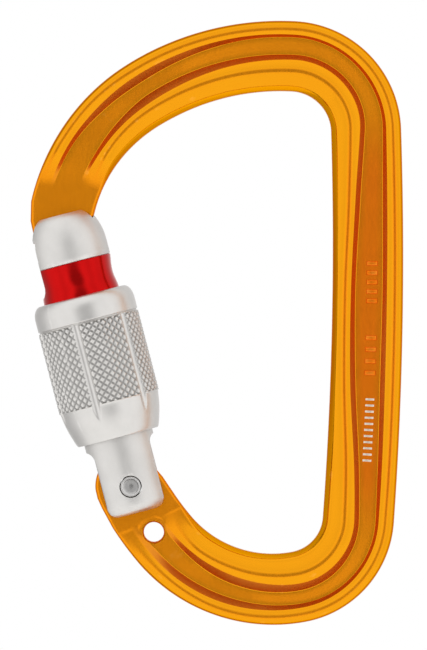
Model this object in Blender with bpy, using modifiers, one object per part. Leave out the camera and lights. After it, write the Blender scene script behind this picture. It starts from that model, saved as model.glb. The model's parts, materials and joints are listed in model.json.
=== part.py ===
"""Locking carabiner: forged H-section frame, keylock gate and screw sleeve.

The carabiner stands upright in the XZ plane with its front towards -Y.  The origin is the
highest point of the frame's inner edge, where a sling or hanger bears.  Shapes are worked out
in millimetres and turned into metres when a mesh is made.  Along the gate the local Z axis is
the gate's own axis, measured up from the hinge pin, and local X points into the opening.
"""
import math

import bpy
import bmesh
from mathutils import Matrix, Vector

MM = 0.001
STEPS = 32                      # facets round the turned gate pieces
SLEEVE_STEPS = 48

# Frame, seen from the front and followed clockwise from the nose to the hinge.
NOSE_HEADING = 77.5             # degrees above +X where the frame leaves the gate head
FRAME_ARCS = (                  # (length, radius) of the centre line, always turning right
    (24.1, 30.6), (27.4, 44.5), (19.5, 13.1), (66.8, 648.0), (16.4, 12.5), (25.8, 24.3), (9.4, 51.0),
)
FRAME_WIDTHS = ((0, 11.0), (8, 11.1), (30, 11.9), (76, 12.0), (144, 12.2), (167, 12.1), (189, 12.0))
RIM_HALF = 4.0                  # half thickness over a rim's crest
WEB_HALF = 2.1                  # half thickness of the nose neck and the hinge lug
CROWN_SLOPE, CROWN_ROUND = 0.58, 0.34   # a rim's crown: slope far from the crest, and rounding at it
POCKET_WALL_SLOPE = 1.13        # rise of a pocket wall over its width, where the web's range allows
POCKET_WEB_RANGE = (2.1, 2.5)   # half thickness of the web between the rims
# Distance along the frame, then crest, wall top and wall foot of the inner rim, measured from
# the inner edge, and of the outer rim, measured from the outer edge.
RIM_STATIONS = (
    (0, 0.8, 3.4, 4.0, 0.8, 2.4, 3.1),
    (10, 2.2, 3.4, 4.0, 1.2, 2.5, 3.1),
    (18, 2.8, 3.7, 4.7, 1.3, 2.6, 3.7),
    (26, 3.1, 4.1, 5.6, 1.5, 2.5, 3.9),
    (46, 3.4, 5.2, 6.2, 1.5, 2.4, 2.9),
    (66, 3.4, 5.2, 6.1, 1.5, 2.6, 3.1),
    (82, 2.8, 3.9, 4.8, 1.5, 2.7, 3.5),
    (98, 2.1, 3.1, 3.9, 1.5, 2.8, 3.6),
    (114, 2.3, 3.3, 4.3, 1.5, 2.8, 3.7),
    (130, 3.4, 4.8, 5.7, 1.5, 2.7, 3.4),
    (140, 3.7, 5.4, 6.3, 1.6, 2.7, 3.2),
    (154, 3.8, 5.4, 6.7, 1.5, 2.6, 3.3),
    (166, 3.4, 4.6, 6.1, 1.4, 2.5, 3.7),
    (178, 3.1, 4.2, 5.0, 1.7, 2.6, 3.8),
    (189, 0.8, 4.2, 5.0, 0.8, 2.6, 3.8),
)
INNER_RIM_SPAN = (5.0, 12.0, 176.0, 183.0)      # rises from, full at, full until, gone at
OUTER_RIM_SPAN = (2.5, 8.5, 176.0, 184.5)
TETHER_HOLE_AT = (-21.66, -75.48)
TETHER_HOLE_RADIUS = 1.73

# Gate hinge and axis.
PIVOT = (-25.58, -67.62)
GATE_LEAN = 14.6                # degrees the gate axis leans away from the spine
LUG_RADIUS = 6.1
LUG_CAM_HEIGHT = 5.2            # flat on the lug's end that the plunger presses
LUG_SLANT_FROM, LUG_SLANT = 5.65, 0.49      # the lug's side towards the opening, and how it leans in
NOSE_KEY_HALF = 3.1             # half width of the key at the nose's tip
RUNNING_GAP = 0.3

# Gate, heights above the pin along its axis.
EAR_BOTTOM = -4.6
EAR_LEFT, EAR_RIGHT = -4.85, 5.0
FORK_FLOOR = 6.6
BARREL_RADIUS = 6.0
THREAD_RADIUS = 6.2
THREAD_SPAN = (10.0, 31.2)
SHOULDER_RADIUS = 6.6
SHOULDER_SPAN = (31.5, 33.2)
NECK_RADIUS = 4.7
HEAD_BASE, HEAD_TOP = 39.5, 47.9
KEY_FLOOR = 40.9
KEY_SLOT_TOP = 44.3
HEAD_FLAT = -5.7                # milled flat on the head's outer side
SPRING_BORE_RADIUS = 2.3
SPRING_BORE_END = 26.0

# Screw sleeve, in its open place.
SLEEVE_BOTTOM, SLEEVE_TOP = 8.67, 33.6
SLEEVE_THREAD_BORE = 6.5
SLEEVE_BORE = 6.95
SLEEVE_STEP = 16.5              # top of the threaded stretch of the bore
BRAKE_GROOVE = (11.7, 13.9, 7.5)
KNURL_RADIUS = 8.8
KNURL_SPAN = (14.9, 28.9)
FLUTES = 6
FIRST_FLUTE = -15.0             # degrees from the front towards the opening
FLUTE_RADIUS = 0.8
FLUTE_CENTRE = 9.0

RIVET_RADIUS = 1.8
RIVET_HALF = 5.72
PLUNGER_TIP = 5.5
PLUNGER_SHOULDER = 9.2
PLUNGER_TOP = 15.0
SPRING_COIL_RADIUS = 1.5
SPRING_WIRE = 0.55
SPRING_TURNS = 8
SPRING_POINTS_PER_TURN = 10


# ---------------------------------------------------------------- scene helpers

def clear_scene():
    for item in list(bpy.data.objects):
        bpy.data.objects.remove(item, do_unlink=True)


def new_collection(name):
    collection = bpy.data.collections.new(name)
    bpy.context.scene.collection.children.link(collection)
    return collection


def new_material(name, colour, roughness, metallic):
    material = bpy.data.materials.new(name)
    material.use_nodes = True
    shader = material.node_tree.nodes["Principled BSDF"]
    shader.inputs["Base Color"].default_value = (*colour, 1.0)
    shader.inputs["Roughness"].default_value = roughness
    shader.inputs["Metallic"].default_value = metallic
    material.diffuse_color = (*colour, 1.0)
    return material


def new_object(name, mesh, collection, parent=None):
    item = bpy.data.objects.new(name, mesh)
    collection.objects.link(item)
    item.parent = parent
    return item


def new_empty(name, collection, location=(0, 0, 0), lean=0.0, parent=None):
    empty = new_object(name, None, collection, parent)
    empty.location = [value * MM for value in location]
    empty.rotation_euler = (0, math.radians(lean), 0)
    empty.empty_display_size = 0.01
    return empty


def dress(item, material):
    """Give a round piece its material and smooth shading with crisp corners."""
    item.data.materials.append(material)
    item.data.shade_smooth()
    item.data.set_sharp_from_angle(angle=math.radians(35))


def as_cutter(item):
    item.hide_render = True
    item.display_type = 'WIRE'
    return item


def boolean(item, cutter, operation='DIFFERENCE'):
    modifier = item.modifiers.new(cutter.name, 'BOOLEAN')
    modifier.operation = operation
    modifier.solver = 'EXACT'
    modifier.object = cutter


# ---------------------------------------------------------------- shape helpers

def turned(name, profile, collection, steps, parent=None, closed=False):
    """A turned piece: (radius, height) points run down its outer side about local Z."""
    mesh = bpy.data.meshes.new(name)
    points = [(radius * MM, 0, height * MM) for radius, height in profile]
    edges = [(i, i + 1) for i in range(len(points) - 1)]
    if closed:
        edges.append((len(points) - 1, 0))
    mesh.from_pydata(points, edges, [])
    item = new_object(name, mesh, collection, parent)
    screw = item.modifiers.new("turn", 'SCREW')
    screw.steps = steps
    screw.render_steps = steps
    screw.use_merge_vertices = True
    screw.merge_threshold = 1e-5
    screw.use_smooth_shade = True
    return item


def prism(name, outline, half_depth, collection, parent=None):
    """A flat outline of (x, z) points, extruded the same way to the front and the back."""
    curve = bpy.data.curves.new(name, 'CURVE')
    curve.dimensions = '2D'
    curve.fill_mode = 'BOTH'
    curve.extrude = half_depth * MM
    spline = curve.splines.new('POLY')
    spline.points.add(len(outline) - 1)
    for point, (x, z) in zip(spline.points, outline):
        point.co = (x * MM, z * MM, 0, 1)
    spline.use_cyclic_u = True
    return mesh_from_curve(name, curve, collection, parent, Matrix.Rotation(math.pi / 2, 4, 'X'))


def mesh_from_curve(name, curve, collection, parent=None, turn=None):
    """Turn a curve into a closed mesh object with its caps welded on."""
    guide = new_object(name + "_guide", curve, collection)
    graph = bpy.context.evaluated_depsgraph_get()
    mesh = bpy.data.meshes.new_from_object(guide.evaluated_get(graph))
    bpy.data.objects.remove(guide)
    body = bmesh.new()
    body.from_mesh(mesh)
    bmesh.ops.remove_doubles(body, verts=body.verts, dist=1e-7)
    if turn is not None:
        bmesh.ops.transform(body, matrix=turn, verts=body.verts)
    bmesh.ops.recalc_face_normals(body, faces=body.faces)
    body.to_mesh(mesh)
    body.free()
    return new_object(name, mesh, collection, parent)


def pin_cutter(name, centre, radius, half_length, collection, parent=None):
    """A cylinder along Y, to drill through a piece from front to back."""
    mesh = bpy.data.meshes.new(name)
    body = bmesh.new()
    place = Matrix.Translation((centre[0] * MM, 0, centre[1] * MM))
    bmesh.ops.create_cone(body, cap_ends=True, segments=24, radius1=radius * MM, radius2=radius * MM,
                          depth=2 * half_length * MM, matrix=place @ Matrix.Rotation(math.pi / 2, 4, 'X'))
    body.to_mesh(mesh)
    body.free()
    return as_cutter(new_object(name, mesh, collection, parent))


def arc(centre, radius, start, end, count):
    """Points on a circle from one angle to another, in degrees."""
    angles = [math.radians(start + (end - start) * i / count) for i in range(count + 1)]
    return [(centre[0] + radius * math.cos(a), centre[1] + radius * math.sin(a)) for a in angles]


def interpolate(rows, distance):
    """Smooth values from a table whose rows start with a distance (Catmull-Rom)."""
    if distance <= rows[0][0]:
        return rows[0][1:]
    if distance >= rows[-1][0]:
        return rows[-1][1:]
    i = max(k for k in range(len(rows) - 1) if rows[k][0] <= distance)
    before, low, high = rows[max(i - 1, 0)], rows[i], rows[i + 1]
    after = rows[min(i + 2, len(rows) - 1)]
    span = high[0] - low[0]
    u = (distance - low[0]) / span
    values = []
    for k in range(1, len(low)):
        slope_low = (high[k] - before[k]) / (high[0] - before[0]) * span
        slope_high = (after[k] - low[k]) / (after[0] - low[0]) * span
        values.append((2 * u**3 - 3 * u**2 + 1) * low[k] + (u**3 - 2 * u**2 + u) * slope_low
                      + (3 * u**2 - 2 * u**3) * high[k] + (u**3 - u**2) * slope_high)
    return values


def ease(low, high, value):
    """0 below low, 1 above high and a smooth rise between them."""
    u = min(max((value - low) / (high - low), 0.0), 1.0)
    return u * u * (3 - 2 * u)


# ---------------------------------------------------------------- frame

def step_along(point, heading, length, radius):
    """Follow a right-hand arc; returns the new point and heading (radians)."""
    after = heading - length / radius
    x = point[0] - radius * (math.sin(after) - math.sin(heading))
    z = point[1] + radius * (math.cos(after) - math.cos(heading))
    return (x, z), after


def centre_line():
    """Stations (distance, x, z, heading) with the inner edge's highest point at the origin."""
    point, heading, distance = (0.0, 0.0), math.radians(NOSE_HEADING), 0.0
    stations = [(distance, *point, heading)]
    for length, radius in FRAME_ARCS:
        pieces = max(math.ceil(length / 6), math.ceil(math.degrees(length / radius) / 9))
        if distance < 10 or distance > 150:
            pieces = math.ceil(length / 2.7)
        start_point, start_heading = point, heading
        for i in range(1, pieces + 1):
            part = length * i / pieces
            point, heading = step_along(start_point, start_heading, part, radius)
            stations.append((distance + part, *point, heading))
            if stations[-2][3] > 0 >= heading:
                apex = step_along(start_point, start_heading, start_heading * radius, radius)[0]
                apex_width = interpolate(FRAME_WIDTHS, distance + part)[0]
        distance += length
    return [(d, x - apex[0], z - apex[1] + apex_width / 2, h) for d, x, z, h in stations]


def rim_rise(span, distance):
    """Share of a rim's full height, from 0 to 1."""
    return ease(span[0], span[1], distance) * (1 - ease(span[2], span[3], distance))


def crown_fall(reach):
    """How far a rim's crown has fallen at a distance from its crest."""
    return math.hypot(CROWN_SLOPE * reach, CROWN_ROUND) - CROWN_ROUND


def rim_points(crest, wall_top, foot, rise):
    """Half a rim as (distance from its edge, half thickness), from the edge to the wall's foot."""
    wall_half = RIM_HALF - crown_fall(wall_top - crest)
    low, high = POCKET_WEB_RANGE
    web_half = min(max(wall_half - (foot - wall_top) * POCKET_WALL_SLOPE, low), high)
    crest_half, wall_half, web_half = (WEB_HALF + (half - WEB_HALF) * rise
                                       for half in (RIM_HALF, wall_half, web_half))
    angles = [math.radians(a) for a in (0, 30, 60, 90)]
    points = [(crest * (1 - math.cos(a)), crest_half * math.sin(a)) for a in angles]
    return points + [(wall_top, wall_half), (foot, web_half)]


def ring(inner_edge, outer_edge, inner, outer, inner_rise, outer_rise, scale=1.0):
    """One closed H cross-section between two edge points, front half then back half."""
    a, b = Vector(inner_edge), Vector(outer_edge)
    width = (b - a).length
    across = (b - a) / width
    front = rim_points(*inner, inner_rise)
    front += [(width - t, half) for t, half in reversed(rim_points(*outer, outer_rise))]
    ring_points = []
    for t, half in front + front[-2:0:-1]:
        side = -1 if len(ring_points) < len(front) else 1
        spot = a + across * t
        ring_points.append((spot.x * MM, side * half * scale * MM, spot.y * MM))
    return ring_points


def plain_ring(inner_edge, outer_edge, half):
    """A flat cross-section with slightly rounded edges, for the nose and the hinge lug."""
    width = math.dist(inner_edge, outer_edge)
    flat = (0.8, width * 0.28, width * 0.38)
    return ring(inner_edge, outer_edge, flat, flat, 0.0, 0.0, half / WEB_HALF)


def gate_to_frame(p, a):
    """Gate coordinates (towards the opening, up the axis) to frame coordinates."""
    lean = math.radians(GATE_LEAN)
    x = PIVOT[0] + p * math.cos(lean) - a * math.sin(lean)
    z = PIVOT[1] + p * math.sin(lean) + a * math.cos(lean)
    return x, z


def nose_rings():
    """From the key at the tip up to where the frame leaves the gate head."""
    rows = (((4.4, 41.5), (-5.2, 41.5), NOSE_KEY_HALF), ((4.4, 43.4), (-5.3, 43.4), NOSE_KEY_HALF),
            ((4.4, 43.7), (-5.3, 43.7), WEB_HALF), ((4.5, 44.9), (-5.3, 45.6), WEB_HALF),
            ((4.8, 45.7), (-5.2, 48.2), WEB_HALF))
    return [plain_ring(gate_to_frame(*i), gate_to_frame(*o), half) for i, o, half in rows]


def lug_rings():
    """The hinge lug: round outside, slanted towards the opening, closed by the plunger's flat."""
    rows = [((6.2, -1.4), (-5.75, -2.5)), ((LUG_SLANT_FROM, 0.2), (-6.08, -0.6))]
    for height in (1.6, 2.9, 4.1, LUG_CAM_HEIGHT):
        inner = LUG_SLANT_FROM - LUG_SLANT * (height - 0.2)
        rows.append(((inner, height), (-math.sqrt(LUG_RADIUS**2 - height**2), height)))
    return [plain_ring(gate_to_frame(*i), gate_to_frame(*o), WEB_HALF) for i, o in rows]


def body_rings():
    rings = []
    last = sum(length for length, radius in FRAME_ARCS) - 3.0
    for distance, x, z, heading in centre_line():
        if distance > last:
            break
        width = interpolate(FRAME_WIDTHS, distance)[0]
        across = Vector((-math.sin(heading), math.cos(heading))) * (width / 2)
        middle = Vector((x, z))
        values = interpolate(RIM_STATIONS, distance)
        rings.append(ring(middle - across, middle + across, values[:3], values[3:],
                          rim_rise(INNER_RIM_SPAN, distance), rim_rise(OUTER_RIM_SPAN, distance)))
    return rings


def loft(name, rings, collection):
    """Skin a list of equal rings and cap both ends."""
    body = bmesh.new()
    rows = [[body.verts.new(point) for point in points] for points in rings]
    count = len(rows[0])
    for low, high in zip(rows, rows[1:]):
        for i in range(count):
            j = (i + 1) % count
            body.faces.new((low[i], low[j], high[j], high[i]))
    body.faces.new(list(reversed(rows[0])))
    body.faces.new(rows[-1])
    bmesh.ops.recalc_face_normals(body, faces=body.faces)
    mesh = bpy.data.meshes.new(name)
    body.to_mesh(mesh)
    body.free()
    return new_object(name, mesh, collection)


def make_frame(parts, cutters, material):
    frame = loft("frame", nose_rings() + body_rings() + lug_rings(), parts)
    dress(frame, material)
    boolean(frame, pin_cutter("tether_hole_cut", TETHER_HOLE_AT, TETHER_HOLE_RADIUS, 9, cutters))
    boolean(frame, pin_cutter("lug_hole_cut", PIVOT, RIVET_RADIUS + RUNNING_GAP, 9, cutters))
    return frame


# ---------------------------------------------------------------- gate

def head_slot_outline():
    """Neck of the keyhole slot: open on the outer side and the top, relieved by the frame."""
    wall = 4.85
    return [(-9, KEY_FLOOR), (wall, KEY_FLOOR), (wall, 44.8), (7.4, 48.0), (7.4, 50), (-9, 50)]


def ear_trim_outline():
    """Everything round the ears' rounded silhouette, with a fillet up to the barrel."""
    corner = 1.7
    left = arc((EAR_LEFT - 1.9, 5.6), 1.9, 75, 0, 5) + arc(
        (EAR_LEFT + corner, EAR_BOTTOM + corner), corner, 180, 270, 5)
    right = arc((EAR_RIGHT - corner, EAR_BOTTOM + corner), corner, 270, 360, 5) + arc(
        (EAR_RIGHT + 1.9, 6.2), 1.9, 180, 115, 5)
    return [(-10, left[0][1])] + left + right + [(10, right[-1][1]), (10, -10), (-10, -10)]


def head_flat_outline():
    """The milled flat, with the cutter's run-out over the neck."""
    run_out = [(HEAD_FLAT, 36.3), (HEAD_FLAT - 0.15, 35.6), (HEAD_FLAT - 0.5, 34.9), (-6.9, 34.4)]
    return [(-10, 50), (HEAD_FLAT, 50)] + run_out + [(-10, 34.4)]


def make_gate_body(parts, cutters, gate, head_flat, material):
    profile = [
        (0, HEAD_TOP), (4.4, HEAD_TOP), (5.1, 47.3), (5.75, 46.2), (6.25, 44.8), (6.55, 43.4),
        (6.6, 42.0), (6.6, HEAD_BASE), (NECK_RADIUS, HEAD_BASE), (NECK_RADIUS, SHOULDER_SPAN[1]),
        (SHOULDER_RADIUS, SHOULDER_SPAN[1]), (SHOULDER_RADIUS, SHOULDER_SPAN[0]),
        (THREAD_RADIUS, THREAD_SPAN[1]), (THREAD_RADIUS, THREAD_SPAN[0]),
        (BARREL_RADIUS, THREAD_SPAN[0] - 0.2), (BARREL_RADIUS, EAR_BOTTOM + 1.6),
        (5.6, EAR_BOTTOM + 0.6), (4.7, EAR_BOTTOM), (0, EAR_BOTTOM),
    ]
    body = turned("gate_body", profile, parts, STEPS, gate)
    body.data.materials.append(material)
    slot = prism("head_slot_cut", head_slot_outline(), WEB_HALF + 0.35, cutters, gate)
    key = prism("key_slot_cut", [(-9, KEY_FLOOR), (4.85, KEY_FLOOR), (4.85, KEY_SLOT_TOP), (-9, KEY_SLOT_TOP)],
                NOSE_KEY_HALF + RUNNING_GAP, cutters, gate)
    fork = prism("fork_cut", [(-10, -10), (10, -10), (10, FORK_FLOOR), (-10, FORK_FLOOR)],
                 WEB_HALF + RUNNING_GAP, cutters, gate)
    trim = prism("ear_trim_cut", ear_trim_outline(), 10, cutters, gate)
    bore = turned("spring_bore_cut", [(0, SPRING_BORE_END), (SPRING_BORE_RADIUS, SPRING_BORE_END),
                                      (SPRING_BORE_RADIUS, 4), (0, 4)], cutters, 24, gate)
    hole = pin_cutter("ear_hole_cut", (0, 0), RIVET_RADIUS + RUNNING_GAP, 9, cutters, gate)
    for cutter in (head_flat, slot, key, fork, trim, bore, hole):
        boolean(body, as_cutter(cutter))
    return body


def make_indicator_band(parts, cutters, gate, head_flat, material):
    """Red snap-in ring on the gate's neck, covered when the sleeve is screwed up."""
    top, bottom = HEAD_BASE - RUNNING_GAP, SHOULDER_SPAN[1] + RUNNING_GAP
    bore = NECK_RADIUS + RUNNING_GAP
    profile = [(bore, top), (6.6, top), (6.42, 38.3), (6.28, 37.3), (6.24, 36.4), (6.32, 35.6),
               (6.48, 34.8), (6.6, 34.0), (6.6, bottom), (bore, bottom)]
    band = turned("indicator_band", profile, parts, STEPS, gate, closed=True)
    band.data.materials.append(material)
    boolean(band, head_flat)
    snap_gap = prism("band_gap_cut", [(3, 30), (9, 30), (9, 42), (3, 42)], 0.3, cutters, gate)
    boolean(band, as_cutter(snap_gap))
    return band


def make_rivet(parts, gate, material):
    """Hinge pin through ears and lug, with a dimple in each peened end."""
    end = [(0, 4.95), (0.9, 5.0), (1.4, 5.5), (1.6, RIVET_HALF), (RIVET_RADIUS, 5.6)]
    profile = end + [(radius, -height) for radius, height in reversed(end)]
    rivet = turned("hinge_rivet", profile, parts, 24, gate)
    rivet.rotation_euler = (math.pi / 2, 0, 0)
    rivet.data.materials.append(material)
    return rivet


def make_plunger(parts, carrier, material):
    """Spring plunger that presses the flat on the lug and closes the gate."""
    stem, head = 0.9, 1.95
    profile = [(0, PLUNGER_TOP), (stem, PLUNGER_TOP), (stem, PLUNGER_SHOULDER), (head, PLUNGER_SHOULDER),
               (head, PLUNGER_TIP + 1.1), (1.2, PLUNGER_TIP + 0.1), (0, PLUNGER_TIP)]
    plunger = turned("spring_plunger", profile, parts, 20, carrier)
    plunger.data.materials.append(material)
    return plunger


def make_spring(parts, gate, material):
    """Closing spring between the plunger's shoulder and the end of its bore."""
    gap = RUNNING_GAP + SPRING_WIRE / 2
    low, high = PLUNGER_SHOULDER + gap, SPRING_BORE_END - gap
    count = SPRING_TURNS * SPRING_POINTS_PER_TURN
    curve = bpy.data.curves.new("gate_spring", 'CURVE')
    curve.dimensions = '3D'
    curve.bevel_depth = SPRING_WIRE / 2 * MM
    curve.bevel_resolution = 2
    curve.use_fill_caps = True
    spline = curve.splines.new('POLY')
    spline.points.add(count)
    for i, point in enumerate(spline.points):
        angle = 2 * math.pi * i / SPRING_POINTS_PER_TURN
        height = low + (high - low) * i / count
        point.co = (SPRING_COIL_RADIUS * math.cos(angle) * MM, SPRING_COIL_RADIUS * math.sin(angle) * MM,
                    height * MM, 1)
    spring = mesh_from_curve("gate_spring", curve, parts, gate)
    dress(spring, material)
    return spring


# ---------------------------------------------------------------- sleeve

def flute_cutter(cutters, carrier):
    """Six long round cutters that leave the sleeve's grip flutes."""
    low, high = 9.0, KNURL_SPAN[1] + 0.1
    mesh = bpy.data.meshes.new("flute_cut")
    body = bmesh.new()
    for i in range(FLUTES):
        angle = math.radians(FIRST_FLUTE + 360 * i / FLUTES)
        place = Matrix.Translation((FLUTE_CENTRE * math.sin(angle) * MM, -FLUTE_CENTRE * math.cos(angle) * MM,
                                    (low + high) / 2 * MM))
        bmesh.ops.create_cone(body, cap_ends=True, segments=12, radius1=FLUTE_RADIUS * MM,
                              radius2=FLUTE_RADIUS * MM, depth=(high - low) * MM, matrix=place)
    body.to_mesh(mesh)
    body.free()
    return as_cutter(new_object("flute_cut", mesh, cutters, carrier))


def make_sleeve(parts, cutters, sleeve_turn, material):
    groove_low, groove_high, groove_radius = BRAKE_GROOVE
    outside = [(7.45, SLEEVE_TOP), (8.1, 33.25), (8.55, 32.6), (8.75, 31.8), (8.75, 29.3), (8.62, 29.1),
               (KNURL_RADIUS, KNURL_SPAN[1]), (KNURL_RADIUS, KNURL_SPAN[0]), (8.58, 14.7), (8.4, 13.3),
               (8.15, 11.9), (7.75, 10.5), (7.3, 9.1), (6.9, SLEEVE_BOTTOM)]
    inside = [(SLEEVE_THREAD_BORE, SLEEVE_BOTTOM), (SLEEVE_THREAD_BORE, groove_low),
              (groove_radius, groove_low), (groove_radius, groove_high), (SLEEVE_THREAD_BORE, groove_high),
              (SLEEVE_THREAD_BORE, SLEEVE_STEP), (SLEEVE_BORE, SLEEVE_STEP + 0.4),
              (SLEEVE_BORE, SLEEVE_TOP - 0.3), (SLEEVE_BORE + 0.2, SLEEVE_TOP)]
    sleeve = turned("locking_sleeve", outside + inside, parts, SLEEVE_STEPS, sleeve_turn, closed=True)
    sleeve.data.materials.append(material)
    boolean(sleeve, flute_cutter(cutters, sleeve_turn))
    return sleeve


def make_brake_ring(parts, sleeve_slide, material):
    """Nylon ring in the sleeve's groove: it drags on the barrel so that the sleeve stays put."""
    low, high = BRAKE_GROOVE[0] + RUNNING_GAP, BRAKE_GROOVE[1] - RUNNING_GAP
    inner, outer = THREAD_RADIUS + 0.25, BRAKE_GROOVE[2] - RUNNING_GAP
    profile = [(inner, high), (outer, high), (outer, low), (inner, low)]
    brake = turned("brake_ring", profile, parts, STEPS, sleeve_slide, closed=True)
    brake.data.materials.append(material)
    return brake


# ---------------------------------------------------------------- assembly

def main():
    clear_scene()
    parts = new_collection("locking_carabiner")
    cutters = new_collection("cutters")

    orange = new_material("orange_anodised", (0.90, 0.42, 0.03), 0.28, 1.0)
    silver = new_material("silver_satin", (0.78, 0.76, 0.73), 0.42, 1.0)
    knurled = new_material("silver_knurled", (0.74, 0.72, 0.70), 0.45, 1.0)
    red = new_material("red_indicator", (0.62, 0.02, 0.02), 0.25, 0.9)
    steel = new_material("rivet_steel", (0.62, 0.61, 0.60), 0.3, 1.0)
    spring_steel = new_material("spring_steel", (0.45, 0.45, 0.46), 0.35, 1.0)
    brass = new_material("plunger_brass", (0.72, 0.55, 0.28), 0.35, 1.0)
    nylon = new_material("brake_nylon", (0.08, 0.08, 0.08), 0.5, 0.0)

    make_frame(parts, cutters, orange)

    gate = new_empty("gate_hinge", parts, (PIVOT[0], 0, PIVOT[1]), -GATE_LEAN)
    sleeve_slide = new_empty("sleeve_slide", parts, parent=gate)
    sleeve_turn = new_empty("sleeve_turn", parts, parent=sleeve_slide)
    plunger_slide = new_empty("plunger_slide", parts, parent=gate)

    head_flat = as_cutter(prism("head_flat_cut", head_flat_outline(), 10, cutters, gate))
    make_gate_body(parts, cutters, gate, head_flat, silver)
    make_indicator_band(parts, cutters, gate, head_flat, red)
    make_rivet(parts, gate, steel)
    make_spring(parts, gate, spring_steel)
    make_plunger(parts, plunger_slide, brass)
    make_brake_ring(parts, sleeve_slide, nylon)
    make_sleeve(parts, cutters, sleeve_turn, knurled)


main()
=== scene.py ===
"""Looks of the locking carabiner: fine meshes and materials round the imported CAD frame.

Shapes are worked out in millimetres.  The frame is made in the CAD model's own axes.  Gate
pieces are made about the gate's own axis: local Z runs up the gate from the hinge pin and
local X points into the opening.
"""

import functools
import json
import math

import bmesh
import bpy
import numpy as np
from mathutils import Matrix, Vector


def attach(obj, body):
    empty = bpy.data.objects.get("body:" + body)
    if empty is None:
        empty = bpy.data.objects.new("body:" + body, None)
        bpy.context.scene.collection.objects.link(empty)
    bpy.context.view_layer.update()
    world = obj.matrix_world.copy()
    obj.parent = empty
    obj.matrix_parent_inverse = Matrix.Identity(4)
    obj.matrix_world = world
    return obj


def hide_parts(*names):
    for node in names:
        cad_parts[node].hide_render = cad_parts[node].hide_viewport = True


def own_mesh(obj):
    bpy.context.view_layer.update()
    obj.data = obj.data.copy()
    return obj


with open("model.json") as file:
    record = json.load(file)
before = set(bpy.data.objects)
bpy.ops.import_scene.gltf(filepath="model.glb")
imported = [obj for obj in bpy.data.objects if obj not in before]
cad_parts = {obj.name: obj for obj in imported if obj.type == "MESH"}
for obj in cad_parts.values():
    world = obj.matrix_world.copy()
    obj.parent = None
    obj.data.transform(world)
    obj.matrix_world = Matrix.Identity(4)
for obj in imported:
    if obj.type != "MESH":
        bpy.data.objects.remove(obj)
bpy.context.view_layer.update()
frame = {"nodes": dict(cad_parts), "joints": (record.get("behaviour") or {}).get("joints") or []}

MM = 0.001
WHITE = (1, 1, 1, 1)

# Frame, seen from the front and followed clockwise from the nose to the hinge.
NOSE_HEADING = 77.5
FRAME_ARCS = (                  # (length, radius) of the centre line, always turning right
    (24.1, 30.6), (27.4, 44.5), (19.5, 13.1), (66.8, 648.0), (16.4, 12.5), (25.8, 24.3), (9.4, 51.0),
)
FRAME_WIDTHS = ((0, 11.0), (8, 11.1), (30, 11.9), (76, 12.0), (144, 12.2), (167, 12.1), (189, 12.0))
RIM_HALF = 4.0
WEB_HALF = 2.1
CROWN_SLOPE, CROWN_ROUND = 0.58, 0.34    # a rim's crown: slope far from the crest, and rounding at it
POCKET_WALL_SLOPE = 1.13        # rise of a pocket wall over its width, where the web's range allows
POCKET_WEB_RANGE = (2.1, 2.5)   # half thickness of the web between the rims
CREST_BAND = (0.12, 0.42)       # the tumbled crest line: fully dull within, glossy beyond
CREST_DULLNESS = 0.85
WEB_FOOT_MARGIN = 0.3           # level run of the web beside a pocket wall's foot
INNER_SHOULDER, INNER_SIDE = 1.25, 1.35     # a rim's rounded side: how wide, and from what half thickness
OUTER_SHOULDER, OUTER_SIDE = 0.66, 1.2
INNER_SHOULDER_FULL_AT = 3.2    # the inner rim's shoulder narrows where its crest is nearer the edge
# Distance along the frame, then crest, wall top and wall foot of the inner rim, measured from
# the inner edge, and of the outer rim, measured from the outer edge.
RIM_STATIONS = (
    (0, 0.8, 3.4, 4.0, 0.8, 2.4, 3.1),
    (10, 2.2, 3.4, 4.0, 1.2, 2.5, 3.1),
    (18, 2.8, 3.7, 4.7, 1.3, 2.6, 3.7),
    (26, 3.1, 4.1, 5.6, 1.5, 2.5, 3.9),
    (46, 3.4, 5.2, 6.2, 1.5, 2.4, 2.9),
    (66, 3.4, 5.2, 6.1, 1.5, 2.6, 3.1),
    (82, 2.8, 3.9, 4.8, 1.5, 2.7, 3.5),
    (98, 2.1, 3.1, 3.9, 1.5, 2.8, 3.6),
    (114, 2.3, 3.3, 4.3, 1.5, 2.8, 3.7),
    (130, 3.4, 4.8, 5.7, 1.5, 2.7, 3.4),
    (140, 3.7, 5.4, 6.3, 1.6, 2.7, 3.2),
    (154, 3.8, 5.4, 6.7, 1.5, 2.6, 3.3),
    (166, 3.4, 4.6, 6.1, 1.4, 2.5, 3.7),
    (178, 3.1, 4.2, 5.0, 1.7, 2.6, 3.8),
    (189, 0.8, 4.2, 5.0, 0.8, 2.6, 3.8),
)
INNER_RIM_SPAN = (5.0, 12.0, 174.0, 184.5)      # rises from, full at, full until, gone at
OUTER_RIM_SPAN = (2.5, 8.5, 174.0, 187.0)
MILLED_FROM = (182.2, 0.22)     # where the lug's milled faces start on the inner edge, and their skew
STATION_STEP = 0.5
END_STEP = 0.25                 # finer stations near the nose and the hinge
FINE_ENDS = (10, 150)           # the finer stations lie before and after these distances
LUG_FINISH_FROM = 165           # milling and the boss are looked for beyond this distance
HINGE_CUT_BACK = 3.0            # the lug's own rings take over this far before the centre line's end
BOSS_RADIUS, BOSS_HEIGHT, BOSS_EDGE = 2.65, 0.16, 0.2
MILLING_RUN_OUT = 0.5
# The web's painted shade is redder along the spine: distances where that begins, is full, starts to go and is
# gone.
RED_WEB_SPAN = (66, 80, 128, 142)
# PLAIN_TONE is the share of the red painted shade away from the spine.
PLAIN_TONE = 0.4                # share of the red elsewhere
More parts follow.
